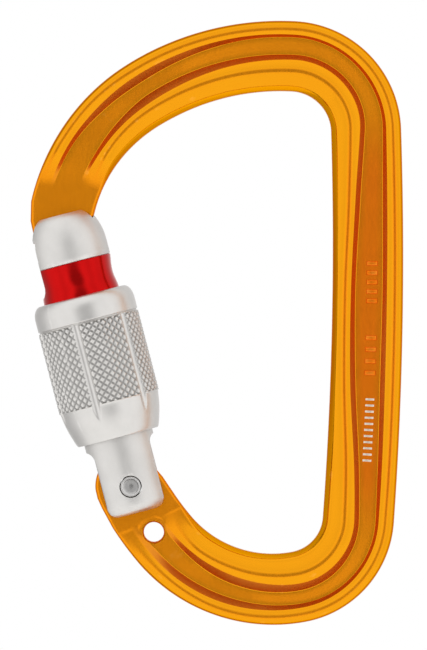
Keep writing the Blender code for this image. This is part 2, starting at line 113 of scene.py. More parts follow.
# Marks on the spine: spans along the frame with a count, and spans across it.
RAISED_DASHES = ((93.0, 101.0, 5), (105.5, 113.5, 4))
DASH_SPAN, DASH_LENGTH = (5.75, 7.65), 0.75
ETCHED_TICKS = (116.5, 128.0, 11)
TICK_SPAN, TICK_LENGTH = (6.1, 7.6), 0.34
DASH_RELIEF, TICK_RELIEF = (0.16, 0.12), (0.02, 0.01)   # height and bevel
TETHER_HOLE_AT = (-21.66, -75.48)
TETHER_HOLE_RADIUS = 1.73
LUG_RADIUS = 6.1
LUG_CAM_HEIGHT = 5.2
LUG_SLANT_FROM, LUG_SLANT = 5.65, 0.49      # the lug's side towards the opening, and how it leans in
NOSE_KEY_HALF = 3.1
RUNNING_GAP = 0.3

# Gate, heights above the pin along its axis.
EAR_BOTTOM = -4.6
EAR_LEFT, EAR_RIGHT = -4.85, 5.0
EAR_CORNER, EAR_FILLET = 1.7, 1.9
FORK_FLOOR = 6.6
BARREL_RADIUS = 6.0
THREAD_RADIUS = 6.2
THREAD_ROOT = 5.75
THREAD_SPAN = (10.0, 31.2)
THREAD_LEAD = 4.0
THREAD_STARTS = 2
THREAD_RUN_OUT = 0.8
THREAD_FLANK = (0.22, 0.36)     # where a flank starts and ends, in pitches from the crest's middle
SHOULDER_RADIUS = 6.6
SHOULDER_SPAN = (31.5, 33.2)
NECK_RADIUS = 4.7
HEAD_BASE, HEAD_TOP = 39.5, 47.9
HEAD_RADIUS = 6.6
KEY_FLOOR = 40.9
KEY_SLOT_TOP = 44.3
KEY_SLOT_WALL = 4.85            # how far towards the opening the keyhole slot reaches
SLOT_CLEARANCE = 0.35           # each side of the nose in the slot's narrow part
HEAD_FLAT = -5.7
SPRING_BORE_RADIUS = 2.3
SPRING_BORE_END = 26.0
SPRING_FOOT = 9.5               # where the spring's lowest coil rests, at rest
SPRING_COIL_RADIUS, SPRING_WIRE_RADIUS = 1.5, 0.275
SPRING_TURNS = 8
GATE_STEPS = 160
GATE_BEVEL, KEYHOLE_BEVEL = 0.24, 0.05

# Screw sleeve, in its open place.
SLEEVE_BOTTOM, SLEEVE_TOP = 8.67, 33.6
SLEEVE_MOUTH = 6.9              # radius where the cone turns into the bore
SLEEVE_THREAD_BORE = 6.5
SLEEVE_BORE = 6.95
SLEEVE_STEP = 16.5
BRAKE_GROOVE = (11.7, 13.9, 7.5)
KNURL_RADIUS = 8.8
KNURL_SPAN = (14.9, 28.9)
KNURL_COUNT = 41                # diamonds round the sleeve
KNURL_SAMPLES = 11              # mesh columns to a diamond
KNURL_DEPTH = 0.31
KNURL_RUN_OUT = 0.12
KNURL_TOP_HALF = 0.17           # half width of a diamond's flat top, across its flats
FLUTES = 6
FIRST_FLUTE = -15.0             # degrees from the front towards the opening
FLUTE_RADIUS = 0.8
FLUTE_CENTRE = 9.0
FLUTE_SPAN = (9.0, 29.0)

RIVET_RADIUS = 1.8
RIVET_HALF = 5.72
DIMPLE_SPHERE, DIMPLE_CENTRE = 1.9, 6.96    # radius of the punch's ball, and its height along the pin
DIMPLE_REACH = 1.38
DIMPLE_SKEW = (0.28, 0.20)      # the dimple leans off centre by this share of its depth

CAMERA_AT = (-0.01145, -1.2, -0.04005)      # metres
CAMERA_LENS = 388
FLOOR_RADIUS, FLOOR_CENTRE = 0.42, (0, -0.26, -0.30)    # metres

# Studio walls: (degrees from straight behind the camera, level) on each side, and the dim gap
# between them where the camera stands.
STUDIO_RIGHT = (
    (0, 0.66), (32, 0.72), (48, 0.60), (62, 0.70), (80, 0.62),
    (100, 0.66), (125, 0.46), (150, 0.46), (180, 0.62),
)
STUDIO_LEFT = (
    (0, 0.66), (32, 0.72), (48, 0.60), (62, 0.70), (88, 0.64),
    (112, 0.38), (140, 0.33), (158, 0.44), (180, 0.62),
)
STUDIO_GAP = (17, 26)           # half width and half height, degrees
STUDIO_GAP_LEVEL = 0.27
STUDIO_GAP_EDGE = (0.7, 1.6)    # where the gap's fade begins and ends, in half widths
STUDIO_SIDE_BLEND = (-0.35, 0.35)   # sideways part of the direction over which left turns into right
STUDIO_STRENGTH = 1.85

JOINTS = {joint["name"]: joint for joint in frame["joints"]}
PIVOT = Vector(JOINTS["gate_hinge"]["pos_m"])
GATE_UP = Vector(JOINTS["sleeve_slide"]["axis"])
GATE_LEAN = math.atan2(-GATE_UP.x, GATE_UP.z)
GATE_PLACE = Matrix.Translation(PIVOT) @ Matrix.Rotation(-GATE_LEAN, 4, 'Y')


# ---------------------------------------------------------------- camera, light and floor

def make_camera():
    """Square on to the front, from far enough away for little perspective."""
    camera = bpy.data.objects.new("camera", bpy.data.cameras.new("camera"))
    bpy.context.scene.collection.objects.link(camera)
    camera.location = CAMERA_AT
    camera.rotation_euler = (math.pi / 2, 0, 0)
    camera.data.sensor_width = 36
    camera.data.lens = CAMERA_LENS
    camera.data.clip_start, camera.data.clip_end = 0.05, 20
    bpy.context.scene.camera = camera


def ramp(nodes, stops):
    """A colour ramp of grey levels, linear between its stops."""
    node = nodes.new('ShaderNodeValToRGB')
    while len(node.color_ramp.elements) < len(stops):
        node.color_ramp.elements.new(0.5)
    for element, (position, value) in zip(node.color_ramp.elements, stops):
        element.position = position
        element.color = (value, value, value, 1)
    return node


def math_node(tree, operation, *values):
    """A math node's output; each value is a number or another node's output."""
    node = tree.nodes.new('ShaderNodeMath')
    node.operation = operation
    for socket, value in zip(node.inputs, values):
        if isinstance(value, (int, float)):
            socket.default_value = value
        else:
            tree.links.new(value, socket)
    return node.outputs[0]


def make_world():
    """A soft studio: dim where the camera stands, bright walls all round it, dimmer behind."""
    world = bpy.data.worlds.new("studio")
    bpy.context.scene.world = world
    world.use_nodes = True
    nodes, links = world.node_tree.nodes, world.node_tree.links
    nodes.clear()

    calculate = functools.partial(math_node, world.node_tree)

    def blend(factor, a, b):
        node = nodes.new('ShaderNodeMix')
        node.data_type = 'RGBA'
        links.new(factor, node.inputs["Factor"])
        for name, value in (("A", a), ("B", b)):
            if isinstance(value, (int, float)):
                node.inputs[name].default_value = (value, value, value, 1)
            else:
                links.new(value, node.inputs[name])
        return node.outputs["Result"]

    def smooth_step(value, low, high):
        node = nodes.new('ShaderNodeMapRange')
        node.interpolation_type = 'SMOOTHSTEP'
        node.inputs["From Min"].default_value = low
        node.inputs["From Max"].default_value = high
        links.new(value, node.inputs["Value"])
        return node.outputs["Result"]

    place = nodes.new('ShaderNodeTexCoord')
    split = nodes.new('ShaderNodeSeparateXYZ')
    links.new(place.outputs["Generated"], split.inputs[0])
    x, y, z = (split.outputs[name] for name in "XYZ")
    angle = calculate('DIVIDE', calculate('ARCCOSINE', calculate('MULTIPLY', y, -1)), math.pi)
    right, left = (ramp(nodes, [(degrees / 180, level) for degrees, level in stops])
                   for stops in (STUDIO_RIGHT, STUDIO_LEFT))
    for node in (right, left):
        links.new(angle, node.inputs[0])
    walls = blend(smooth_step(x, *STUDIO_SIDE_BLEND), left.outputs["Color"], right.outputs["Color"])
    width, height = STUDIO_GAP
    across = calculate('POWER', calculate('DIVIDE', x, math.sin(math.radians(width))), 2)
    upward = calculate('POWER', calculate('DIVIDE', z, math.sin(math.radians(height))), 2)
    gap = calculate('SQRT', calculate('ADD', across, upward))
    behind = calculate('MULTIPLY', calculate('GREATER_THAN', y, 0.0), 9.0)     # keeps the gap in front
    ahead = calculate('ADD', gap, behind)
    level = blend(smooth_step(ahead, *STUDIO_GAP_EDGE), STUDIO_GAP_LEVEL, walls)
    lit = nodes.new('ShaderNodeBackground')
    lit.inputs["Strength"].default_value = STUDIO_STRENGTH
    links.new(level, lit.inputs["Color"])
    seen = nodes.new('ShaderNodeBackground')
    seen.inputs["Color"].default_value = WHITE
    path = nodes.new('ShaderNodeLightPath')
    pick = nodes.new('ShaderNodeMixShader')
    links.new(path.outputs["Is Camera Ray"], pick.inputs["Fac"])
    links.new(lit.outputs[0], pick.inputs[1])
    links.new(seen.outputs[0], pick.inputs[2])
    out = nodes.new('ShaderNodeOutputWorld')
    links.new(pick.outputs[0], out.inputs["Surface"])


def make_floor():
    """A plain pale floor well below the object, which hangs from its top bend."""
    mesh = bpy.data.meshes.new("floor")
    body = bmesh.new()
    bmesh.ops.create_circle(body, cap_ends=True, segments=64, radius=FLOOR_RADIUS,
                            matrix=Matrix.Translation(FLOOR_CENTRE))
    body.to_mesh(mesh)
    body.free()
    floor = bpy.data.objects.new("floor", mesh)
    bpy.context.scene.collection.objects.link(floor)
    material = bpy.data.materials.new("pale_floor")
    material.use_nodes = True
    shader = material.node_tree.nodes["Principled BSDF"]
    shader.inputs["Base Color"].default_value = (0.8, 0.8, 0.79, 1)
    shader.inputs["Roughness"].default_value = 0.9
    shader.inputs["Emission Color"].default_value = WHITE
    shader.inputs["Emission Strength"].default_value = 0.4
    mesh.materials.append(material)


# ---------------------------------------------------------------- materials

class Paint:
    """A metal or plastic material built up from a few procedural layers."""

    def __init__(self, name, colour, roughness, metallic=1.0):
        self.material = bpy.data.materials.new(name)
        self.material.use_nodes = True
        self.nodes = self.material.node_tree.nodes
        self.links = self.material.node_tree.links
        self.shader = self.nodes["Principled BSDF"]
        self.shader.inputs["Metallic"].default_value = metallic
        self.shader.inputs["Base Color"].default_value = (*colour, 1)
        self.shader.inputs["Roughness"].default_value = roughness
        self.material.diffuse_color = (*colour, 1)
        self.place = self.nodes.new('ShaderNodeTexCoord').outputs["Object"]
        self.colour = None
        self.rough = None
        self.height = None

    def math(self, operation, *values):
        return math_node(self.material.node_tree, operation, *values)

    def noise(self, size_mm, detail=3.0, roughness=0.5, stretch=(1, 1, 1), place=None):
        """Noise from 0 to 1 whose features are about size_mm across."""
        scale = self.nodes.new('ShaderNodeVectorMath')
        scale.operation = 'MULTIPLY'
        scale.inputs[1].default_value = [value / (size_mm * MM) for value in stretch]
        self.links.new(place or self.place, scale.inputs[0])
        node = self.nodes.new('ShaderNodeTexNoise')
        node.inputs["Scale"].default_value = 1.0
        node.inputs["Detail"].default_value = detail
        node.inputs["Roughness"].default_value = roughness
        self.links.new(scale.outputs[0], node.inputs["Vector"])
        return node.outputs["Fac"]

    def spread(self, value, low, high, out_low=0.0, out_high=1.0):
        node = self.nodes.new('ShaderNodeMapRange')
        ends = {"From Min": low, "From Max": high, "To Min": out_low, "To Max": out_high}
        for name, number in ends.items():
            node.inputs[name].default_value = number
        self.links.new(value, node.inputs["Value"])
        return node.outputs["Result"]

    def attribute(self, name):
        node = self.nodes.new('ShaderNodeAttribute')
        node.attribute_name = name
        return node.outputs["Fac"]

    def tint(self, factor, colour):
        """Mix a colour into the base colour by a factor from 0 to 1."""
        node = self.nodes.new('ShaderNodeMix')
        node.data_type = 'RGBA'
        self.links.new(factor, node.inputs["Factor"])
        if self.colour is None:
            node.inputs["A"].default_value = self.shader.inputs["Base Color"].default_value
        else:
            self.links.new(self.colour, node.inputs["A"])
        node.inputs["B"].default_value = (*colour, 1)
        self.colour = node.outputs["Result"]
        self.links.new(self.colour, self.shader.inputs["Base Color"])

    def roughen(self, value):
        """Add a value to the roughness."""
        base = self.rough if self.rough is not None else self.shader.inputs["Roughness"].default_value
        self.rough = self.math('ADD', value, base)
        self.links.new(self.rough, self.shader.inputs["Roughness"])

    def bump(self, value, height_mm):
        node = self.nodes.new('ShaderNodeBump')
        node.inputs["Strength"].default_value = 1.0
        node.inputs["Distance"].default_value = height_mm * MM
        self.links.new(value, node.inputs["Height"])
        if self.height is not None:
            self.links.new(self.height, node.inputs["Normal"])
        self.height = node.outputs["Normal"]
        self.links.new(self.height, self.shader.inputs["Normal"])

    def edge_wear(self, colour, low=0.52, high=0.62, strength=0.5):
        """Rubbed outer edges, broken up by a coarse noise."""
        geometry = self.nodes.new('ShaderNodeNewGeometry')
        edge = self.spread(geometry.outputs["Pointiness"], low, high)
        broken = self.spread(self.noise(1.6, 4.0), 0.4, 0.62, 0.0, strength)
        self.tint(self.math('MULTIPLY', edge, broken), colour)


def frame_material():
    """Glossy orange anodising: duller on the web and the milled flats, with painted shade: brick red on
    pocket walls and a redder tint on the web and crest lines.
    """
    paint = Paint("frame_anodised", (0.76, 0.30, 0.006), 0.16)
    paint.shader.inputs["Specular Tint"].default_value = (0.78, 0.38, 0.10, 1)
    flat = paint.attribute("flat")
    paint.roughen(paint.math('MULTIPLY', flat, 0.20))
    # Painted shade: the web, crest lines, milled flats and dashes are tinted redder, standing for the dim
    # reflection they catch.
    paint.tint(paint.attribute("web_painted_shade"), (0.84, 0.195, 0.007))
    drawn = paint.noise(0.35, 4.0, 0.6, stretch=(1, 1, 0.12))
    paint.roughen(paint.spread(drawn, 0.3, 0.7, -0.04, 0.04))
    wall = paint.attribute("pocket_wall")
    paint.roughen(paint.math('MULTIPLY', wall, 0.22))
    # Painted shade: the pocket walls are tinted brick red, standing for light bounced between the rims.
    paint.tint(paint.math('MULTIPLY', wall, 0.85), (0.62, 0.20, 0.03))
    cloud = paint.noise(7.0, 3.0)
    paint.tint(paint.spread(cloud, 0.35, 0.7, 0.0, 0.12), (0.74, 0.21, 0.005))
    grain = paint.noise(0.42, 4.0, 0.65)
    paint.bump(paint.math('MULTIPLY', grain, flat), 0.030)
    paint.bump(paint.noise(0.16, 3.0), 0.0022)
    paint.bump(paint.noise(2.6, 2.0), 0.010)
    paint.edge_wear((0.95, 0.42, 0.06), 0.53, 0.60, 0.35)
    tick = paint.attribute("etched")
    paint.tint(tick, (0.80, 0.72, 0.60))
    paint.roughen(paint.math('MULTIPLY', tick, 0.18))
    return paint.material


def silver_material(name, colour, roughness, grain_mm, grain_height):
    """Blasted and clear anodised aluminium: a fine even grain, faint clouds, and grooves darkened as painted
    shade.
    """
    paint = Paint(name, colour, roughness)
    paint.roughen(paint.spread(paint.noise(0.22, 4.0, 0.6), 0.3, 0.7, -0.06, 0.06))
    cloud = paint.noise(4.0, 3.0)
    darker = tuple(value * 0.88 for value in colour)
    paint.tint(paint.spread(cloud, 0.35, 0.7, 0.0, 0.6), darker)
    paint.bump(paint.noise(grain_mm, 3.0, 0.6), grain_height)
    groove = paint.attribute("groove")
    # Painted shade: the groove attribute darkens the knurl by its depth.
    paint.tint(paint.spread(groove, 0.15, 0.85), tuple(value * 0.48 for value in colour))
    paint.edge_wear(tuple(min(value * 1.25, 0.95) for value in colour), 0.52, 0.6, 0.5)
    return paint.material


def band_material():
    paint = Paint("indicator_red_gloss", (0.50, 0.006, 0.006), 0.16)
    turned_lines = paint.noise(0.12, 2.0, 0.5, stretch=(0.05, 0.05, 1))
    paint.roughen(paint.spread(turned_lines, 0.3, 0.7, -0.03, 0.05))
    paint.bump(turned_lines, 0.002)
    paint.tint(paint.spread(paint.noise(3.0), 0.4, 0.7, 0.0, 0.3), (0.42, 0.004, 0.004))
    return paint.material


def steel_material(name, colour, roughness, line_mm, stretch):
    """Steel or brass with fine lines; the mesh attribute called groove darkens it as painted shade in
    hollows.
    """
    paint = Paint(name, colour, roughness)
    lines = paint.noise(line_mm, 3.0, 0.6, stretch=stretch)
    paint.roughen(paint.spread(lines, 0.3, 0.7, -0.08, 0.1))
    paint.bump(lines, 0.004)
    paint.tint(paint.spread(paint.noise(1.4), 0.4, 0.7, 0.0, 0.5), tuple(value * 0.75 for value in colour))
    # Painted shade in hollows marked by the groove attribute.
    paint.tint(paint.attribute("groove"), tuple(value * 0.5 for value in colour))
    return paint.material


def nylon_material():
    paint = Paint("nylon_black", (0.018, 0.018, 0.020), 0.45, 0.0)
    paint.roughen(paint.spread(paint.noise(0.3), 0.3, 0.7, -0.08, 0.1))
    paint.bump(paint.noise(0.2, 4.0), 0.004)
    return paint.material


# ---------------------------------------------------------------- mesh helpers

def new_object(name, mesh, matrix=None):
    item = bpy.data.objects.new(name, mesh)
    bpy.context.scene.collection.objects.link(item)
    if matrix is not None:
        item.matrix_world = matrix
    return item


def shade(item, material, angle=35):
    item.data.materials.clear()
    item.data.materials.append(material)
    item.data.shade_smooth()
    item.data.set_sharp_from_angle(angle=math.radians(angle))


def put(item, body, nodes):
    """The piece rides on its CAD body and stands for its CAD nodes, which are hidden."""
    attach(item, body)
    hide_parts(*nodes)


def grid_mesh(name, rows, wrap_rows=False):
    """Closed rings of (x, y, z) in millimetres; the rows join end to end or are capped."""
    count = len(rows[0])
    points = np.array(rows, float).reshape(-1, 3) * MM
    faces = []
    pairs = list(zip(range(len(rows) - 1), range(1, len(rows))))
    if wrap_rows:
        pairs.append((len(rows) - 1, 0))
    for low, high in pairs:
        for i in range(count):
            j = (i + 1) % count
            faces.append((low * count + i, low * count + j, high * count + j, high * count + i))
    if not wrap_rows:
        faces.append(tuple(reversed(range(count))))
        faces.append(tuple(range((len(rows) - 1) * count, len(rows) * count)))
    mesh = bpy.data.meshes.new(name)
    mesh.from_pydata(points.tolist(), [], faces)
    body = bmesh.new()
    body.from_mesh(mesh)
    bmesh.ops.recalc_face_normals(body, faces=body.faces)
    body.to_mesh(mesh)
    body.free()
    return mesh


def circle(radius, height, steps):
    angles = [2 * math.pi * i / steps for i in range(steps)]
    return [(radius * math.cos(a), radius * math.sin(a), height) for a in angles]


def lathe_mesh(name, profile, steps, closed=False):
    """(radius, height) points run down the outer side about local Z; ends on the axis are closed."""
    return grid_mesh(name, [circle(max(radius, 0.0005), height, steps) for radius, height in profile], closed)


def arc(centre, radius, start, end, count):
    angles = [math.radians(start + (end - start) * i / count) for i in range(count + 1)]
    return [(centre[0] + radius * math.cos(a), centre[1] + radius * math.sin(a)) for a in angles]


def prism_mesh(name, outline, half_depth):
    """An (x, z) outline extruded the same way to the front and the back."""
    rows = [[(x, y, z) for x, z in outline] for y in (-half_depth, half_depth)]
    return grid_mesh(name, rows)


def pin_mesh(name, centre, radius, half_length, steps=64, chamfer=0.0, surface=0.0):
    """A cylinder along Y; a chamfer widens it outside the surface at that half thickness."""
    stations = [(-half_length, radius), (half_length, radius)]
    if chamfer:
        wide = radius + chamfer
        stations = [(-half_length, wide), (-surface - 0.02, wide), (-surface + chamfer, radius),
                    (surface - chamfer, radius), (surface + 0.02, wide), (half_length, wide)]
    rows = [[(centre[0] + x, y, centre[1] + z) for x, z, _ in circle(r, 0, steps)] for y, r in stations]
    return grid_mesh(name, rows)


def cut(item, meshes, bevel=0.0, segments=2):
    """Take the cutters out of a mesh, round the new edges and keep the result as its mesh."""
    tools = [new_object("cutter", mesh, item.matrix_world) for mesh in meshes]
    for tool in tools:
        modifier = item.modifiers.new("cut", 'BOOLEAN')
        modifier.operation = 'DIFFERENCE'
        modifier.solver = 'EXACT'
        modifier.object = tool
    if bevel:
        modifier = item.modifiers.new("edge", 'BEVEL')
        modifier.width = bevel * MM
        modifier.segments = segments
        modifier.limit_method = 'ANGLE'
        modifier.angle_limit = math.radians(40)
        modifier.use_clamp_overlap = True
    bake(item)
    for tool in tools:
        bpy.data.objects.remove(tool)


def bake(item):
    """Apply every modifier of a mesh object."""
    graph = bpy.context.evaluated_depsgraph_get()
    mesh = bpy.data.meshes.new_from_object(item.evaluated_get(graph))
    item.modifiers.clear()
    item.data = mesh


def weigh_normals(item):
    """Let the large faces decide the shading beside rounded edges."""
    modifier = item.modifiers.new("normals", 'WEIGHTED_NORMAL')
    modifier.keep_sharp = True
    modifier.weight = 60
    bake(item)


def join_mesh(item, mesh):
    """Add another mesh, in the same local axes, to an object's own."""
    body = bmesh.new()
    body.from_mesh(item.data)
    body.from_mesh(mesh)
    body.to_mesh(item.data)
    body.free()


# ---------------------------------------------------------------- frame

def interpolate(rows, distance):
    """Smooth values from a table whose rows start with a distance (Catmull-Rom)."""
    if distance <= rows[0][0]:
        return rows[0][1:]
    if distance >= rows[-1][0]:
        return rows[-1][1:]
    i = max(k for k in range(len(rows) - 1) if rows[k][0] <= distance)
    before, low, high = rows[max(i - 1, 0)], rows[i], rows[i + 1]
    after = rows[min(i + 2, len(rows) - 1)]
    span = high[0] - low[0]
    u = (distance - low[0]) / span
    values = []
    for k in range(1, len(low)):
        slope_low = (high[k] - before[k]) / (high[0] - before[0]) * span
        slope_high = (after[k] - low[k]) / (after[0] - low[0]) * span
        values.append((2 * u**3 - 3 * u**2 + 1) * low[k] + (u**3 - 2 * u**2 + u) * slope_low
                      + (3 * u**2 - 2 * u**3) * high[k] + (u**3 - u**2) * slope_high)
    return values


def ease(low, high, value):
    """0 below low and 1 above high, with a smooth step between."""
    u = min(max((value - low) / (high - low), 0.0), 1.0)
    return u * u * (3 - 2 * u)


def step_along(point, heading, length, radius):
    """Follow a right-hand arc; returns the new point and heading (radians)."""
    after = heading - length / radius
    x = point[0] - radius * (math.sin(after) - math.sin(heading))
    z = point[1] + radius * (math.cos(after) - math.cos(heading))
    return (x, z), after


def centre_line():
    """Stations (distance, x, z, heading) with the inner edge's highest point at the origin."""
    point, heading, distance = (0.0, 0.0), math.radians(NOSE_HEADING), 0.0
    stations = [(distance, *point, heading)]
    for length, radius in FRAME_ARCS:
        fine = distance < FINE_ENDS[0] or distance > FINE_ENDS[1]
        pieces = math.ceil(length / (END_STEP if fine else STATION_STEP))
        start_point, start_heading = point, heading
        for i in range(1, pieces + 1):
            part = length * i / pieces
            point, heading = step_along(start_point, start_heading, part, radius)
            stations.append((distance + part, *point, heading))
            if stations[-2][3] > 0 >= heading:
                apex = step_along(start_point, start_heading, start_heading * radius, radius)[0]
                apex_width = interpolate(FRAME_WIDTHS, distance + start_heading * radius)[0]
        distance += length
    return [(d, x - apex[0], z - apex[1] + apex_width / 2, h) for d, x, z, h in stations]


def smooth_polyline(points, rounds):
    """Chaikin corner cutting that keeps both ends."""
    for _ in range(rounds):
        result = [points[0]]
        for a, b in zip(points, points[1:]):
            result.append(a * 0.75 + b * 0.25)
            result.append(a * 0.25 + b * 0.75)
        result.append(points[-1])
        points = result
    return points


def crown_fall(reach):
    """How far a rim's crown has fallen at a distance from its crest."""
    return math.hypot(CROWN_SLOPE * reach, CROWN_ROUND) - CROWN_ROUND


def crest_finish(reach, rise):
    """The very crest is tumbled a little duller than the crown beside it; the same share tints it redder,
    painted shade for the dim line it reflects.
    """
    return max(1 - rise, CREST_DULLNESS * (1 - ease(*CREST_BAND, reach)))


def web_half(foot, wall, crest):
    """Half thickness of the web at the foot of a pocket wall."""
    wall_top = RIM_HALF - crown_fall(wall - crest)
    return min(max(wall_top - (foot - wall) * POCKET_WALL_SLOPE, POCKET_WEB_RANGE[0]), POCKET_WEB_RANGE[1])


def rim_half(foot, wall, crest, rise, side):
    """Half a rim as control points (distance from its edge, half thickness, flatness, wall share)."""
    wall_top = RIM_HALF - crown_fall(wall - crest)
    web = web_half(foot, wall, crest)
    if side == 'inner':
        shoulder = INNER_SHOULDER * min(max(crest / INNER_SHOULDER_FULL_AT, 0.72), 1.0)
        start = INNER_SIDE
        rounding = ((0.03, 0.08), (0.30, 0.42), (0.62, 0.79), (0.85, 0.95))
    else:
        shoulder, start = OUTER_SHOULDER, OUTER_SIDE
        rounding = ((0.06, 0.36), (0.22, 0.66), (0.48, 0.86), (0.76, 0.96))
    edge = RIM_HALF - crown_fall(crest - shoulder)
    full = [(0.0, 0.0), (0.0, start)]
    full += [(shoulder * u, start + (edge - start) * v) for u, v in rounding]
    plain = [(0.0, 0.0), (0.0, 0.9), (0.03, 1.35), (0.10, 1.75), (0.26, 2.0), (0.5, WEB_HALF)]
    points = [(t1 * rise + t0 * (1 - rise), h1 * rise + h0 * (1 - rise), 1 - rise, 0)
              for (t1, h1), (t0, h0) in zip(full, plain)]

    def lifted(half):
        return WEB_HALF + (half - WEB_HALF) * rise

    for u in (1.0, 0.8, 0.6, 0.42, 0.26, 0.1):
        reach = u * (crest - shoulder)
        points.append((crest - reach, lifted(RIM_HALF - crown_fall(reach)), crest_finish(reach, rise), 0))
    for u in (0.1, 0.26, 0.42, 0.6, 0.8, 1.0):
        reach = u * (wall - crest)
        points.append((crest + reach, lifted(RIM_HALF - crown_fall(reach)), crest_finish(reach, rise), 0))
    for share, wall_share in ((0.12, 1), (0.5, 1), (0.88, 1), (1.0, 0)):
        points.append((wall + (foot - wall) * share, lifted(wall_top + (web - wall_top) * share),
                       1 - rise, wall_share * rise))
    points.append((foot + WEB_FOOT_MARGIN, lifted(web), 1, 0))
    return points


def front_section(width, inner, outer, inner_rise, outer_rise):
    """Front half of the section as rows (distance from the inner edge, half thickness, flatness, wall)."""
    near = rim_half(inner[2], inner[1], inner[0], inner_rise, 'inner')
    far = rim_half(outer[2], outer[1], outer[0], outer_rise, 'outer')
    points = near + [(width - t, *rest) for t, *rest in reversed(far)]
    return smooth_polyline([Vector(point) for point in points], 1)


def ring(inner_edge, outer_edge, front, half_scale=1.0, tone=PLAIN_TONE):
    """One closed cross-section between two edge points, with its (flatness, wall, tone) values; tone is the
    share of painted shade.
    """
    a, b = Vector(inner_edge), Vector(outer_edge)
    across = (b - a).normalized()
    points, finishes = [], []
    order = [(point, -1) for point in front] + [(point, 1) for point in reversed(front[1:-1])]
    for (t, half, flat, wall), side in order:
        spot = a + across * t
        points.append((spot.x, side * half * half_scale, spot.y))
        finishes.append((flat, wall, flat * tone))
    return points, finishes


def plain_section(width):
    """A flat plate with slightly rounded edges, for the nose and the hinge lug."""
    flat = (width * 0.16, width * 0.28, width * 0.38)
    return front_section(width, flat, flat, 0.0, 0.0)


def gate_to_frame(p, a):
    """Frame (x, z) of a point beside the gate: p towards the opening, a up the gate."""
    x = PIVOT.x / MM + p * math.cos(GATE_LEAN) - a * math.sin(GATE_LEAN)
    z = PIVOT.z / MM + p * math.sin(GATE_LEAN) + a * math.cos(GATE_LEAN)
    return x, z


def gate_ring(p0, a0, p1, a1, scale=1.0):
    """A plain section of the frame between two points given in the gate's own axes."""
    inner, outer = gate_to_frame(p0, a0), gate_to_frame(p1, a1)
    return ring(inner, outer, plain_section(math.dist(inner, outer)), scale)


def between(first, second, count):
    """Rows evenly spaced from the first up to, but without, the second."""
    return [tuple(x + (y - x) * i / count for x, y in zip(first, second)) for i in range(count)]


def nose_rings():
    """From the key at the tip up to where the frame leaves the gate head."""
    key = NOSE_KEY_HALF / WEB_HALF
    rows = [
        (4.2, 41.5, -5.0, 41.5, key * 0.95), (4.4, 41.7, -5.2, 41.7, key), (4.4, 43.3, -5.3, 43.3, key),
        (4.4, 43.45, -5.3, 43.45, key * 0.97), (4.4, 43.6, -5.3, 43.6, 1.02), (4.4, 43.7, -5.3, 43.7, 1.0),
    ]
    rows += between((4.4, 43.9, -5.3, 44.1, 1.0), (4.5, 44.9, -5.3, 45.6, 1.0), 4)
    rows += between((4.5, 44.9, -5.3, 45.6, 1.0), (4.8, 45.7, -5.2, 48.2, 1.0), 5)
    rows.append((4.8, 45.7, -5.2, 48.2, 1.0))
    return [gate_ring(*row) for row in rows]


def lug_rings():
    """The hinge lug: round outside, slanted towards the opening, closed by the plunger's flat."""
    rows = between((6.2, -1.4, -5.75, -2.5), (LUG_SLANT_FROM, 0.2, -6.08, -0.6), 4)
    heights = [0.9 + 0.33 * i for i in range(13)] + [5.04, LUG_CAM_HEIGHT]
    rows.append((LUG_SLANT_FROM, 0.2, -6.08, -0.6))
    for height in heights:
        rows.append((LUG_SLANT_FROM - LUG_SLANT * (height - 0.2), height,
                     -math.sqrt(LUG_RADIUS**2 - height**2), height))
    return [gate_ring(*row) for row in rows]


def rise_and_fall(span, distance):
    """0 to 1 and back over a span of four distances: begins, full, full until, gone."""
    return ease(span[0], span[1], distance) * (1 - ease(span[2], span[3], distance))


def finish_front(front, distance, middle, across, width):
    """Milled lug faces and the raised boss round the tether hole."""
    start, skew = MILLED_FROM
    hole = Vector(TETHER_HOLE_AT)
    result = []
    for t, half, flat, wall in front:
        if distance > LUG_FINISH_FROM and half > 1.5:
            milled = ease(0.0, MILLING_RUN_OUT, distance - start - skew * t)
            half = half + (min(half, WEB_HALF) - half) * milled
            flat, wall = max(flat, milled), wall * (1 - milled)
            spot = middle + across * (t - width / 2)
            boss = 1 - ease(BOSS_RADIUS - BOSS_EDGE, BOSS_RADIUS + BOSS_EDGE, (spot - hole).length)
            half = max(half, WEB_HALF + BOSS_HEIGHT) * boss + half * (1 - boss)
        result.append((t, half, flat, wall))
    return result


def body_rings():
    """The rimmed bar from the nose round to the lug."""
    rings = []
    last = sum(length for length, radius in FRAME_ARCS) - HINGE_CUT_BACK
    for distance, x, z, heading in centre_line():
        if distance > last:
            break
        width = interpolate(FRAME_WIDTHS, distance)[0]
        across = Vector((-math.sin(heading), math.cos(heading)))
        middle = Vector((x, z))
        values = interpolate(RIM_STATIONS, distance)
        rises = [rise_and_fall(span, distance) for span in (INNER_RIM_SPAN, OUTER_RIM_SPAN)]
        front = front_section(width, values[:3], values[3:], *rises)
        front = finish_front(front, distance, middle, across, width)
        tone = PLAIN_TONE + (1 - PLAIN_TONE) * rise_and_fall(RED_WEB_SPAN, distance)
        rings.append(ring(middle - across * width / 2, middle + across * width / 2, front, tone=tone))
    return rings


